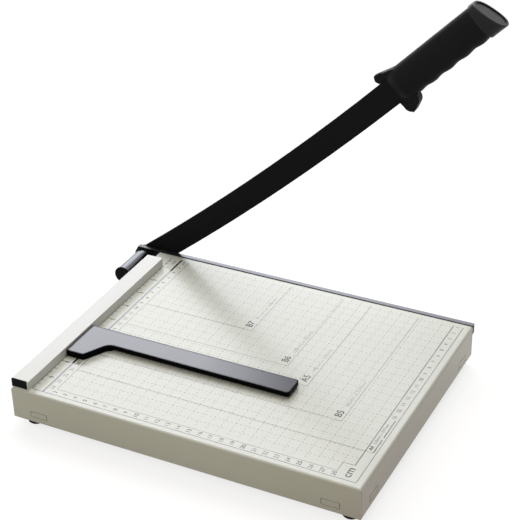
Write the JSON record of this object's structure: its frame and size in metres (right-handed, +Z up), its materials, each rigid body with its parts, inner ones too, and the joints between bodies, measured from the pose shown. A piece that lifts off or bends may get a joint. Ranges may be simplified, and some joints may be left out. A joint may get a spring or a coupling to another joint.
{
  "type": "guillotine paper cutter",
  "caption": "Desk paper cutter: sheet-steel board with a ruled top, a fence, a sliding paper guide, a bed knife and a curved swing knife with a moulded handle.",
  "frame": {"origin": "on the desk, under the middle of the overall box", "axes": "+Z up, +X along the cutting edge from the pivot to the handle, +Y along the fence from the front wall to the cutting edge"},
  "size_m": [0.3671, 0.2708, 0.3428],
  "materials": {
    "board_enamel": "glossy",
    "fence_enamel": "satin",
    "zinc_plated_steel": "satin",
    "bed_knife_steel": "ground",
    "black_steel": "satin",
    "tube_steel": "polished",
    "bush_bronze": "machined",
    "handle_plastic": "fine texture",
    "guide_plastic": "satin",
    "trim_plastic": "matt",
    "foot_rubber": "matt",
    "magnet_nickel": "plated"
  },
  "bodies": {
    "base": {"base_tray": "board_enamel", "rear_stiffener": "zinc_plated_steel", "corner_plate_front_left": "board_enamel", "corner_plate_front_right": "board_enamel", "corner_plate_back_left": "board_enamel", "corner_plate_back_right": "board_enamel", "foot_front_left": "foot_rubber", "foot_front_right": "foot_rubber", "foot_back_left": "foot_rubber", "foot_back_right": "foot_rubber", "foot_screws": "zinc_plated_steel", "foot_nuts": "zinc_plated_steel", "fence_rail": "fence_enamel", "fence_plug_front": "trim_plastic", "fence_plug_back": "trim_plastic", "fence_screws": "zinc_plated_steel", "bed_knife": "bed_knife_steel", "bed_knife_screws": "black_steel", "pivot_bush": "bush_bronze", "spring_tube": "tube_steel", "pressure_spring": "zinc_plated_steel", "tube_end_cap": "trim_plastic"},
    "knife": {"knife_blade": "black_steel", "pivot_bolt": "black_steel", "bolt_washer": "zinc_plated_steel", "spring_seat": "zinc_plated_steel", "lock_nut": "zinc_plated_steel", "handle_front_shell": "handle_plastic", "handle_back_shell": "handle_plastic", "handle_end_cap": "handle_plastic", "handle_screws": "zinc_plated_steel"},
    "guide": {"guide_plate": "guide_plastic", "guide_magnets": "magnet_nickel"}
  },
  "joints": [
    {"name": "knife_hinge", "type": "hinge", "parent": "base", "child": "knife", "pos_m": [-0.17356, 0.12375, 0.0298], "axis": [0, 1, 0], "range_deg": [-42, 38.2]},
    {"name": "guide_slide", "type": "slide", "parent": "base", "child": "guide", "axis": [0, 1, 0], "range_m": [-0.06, 0.128]}
  ]
}
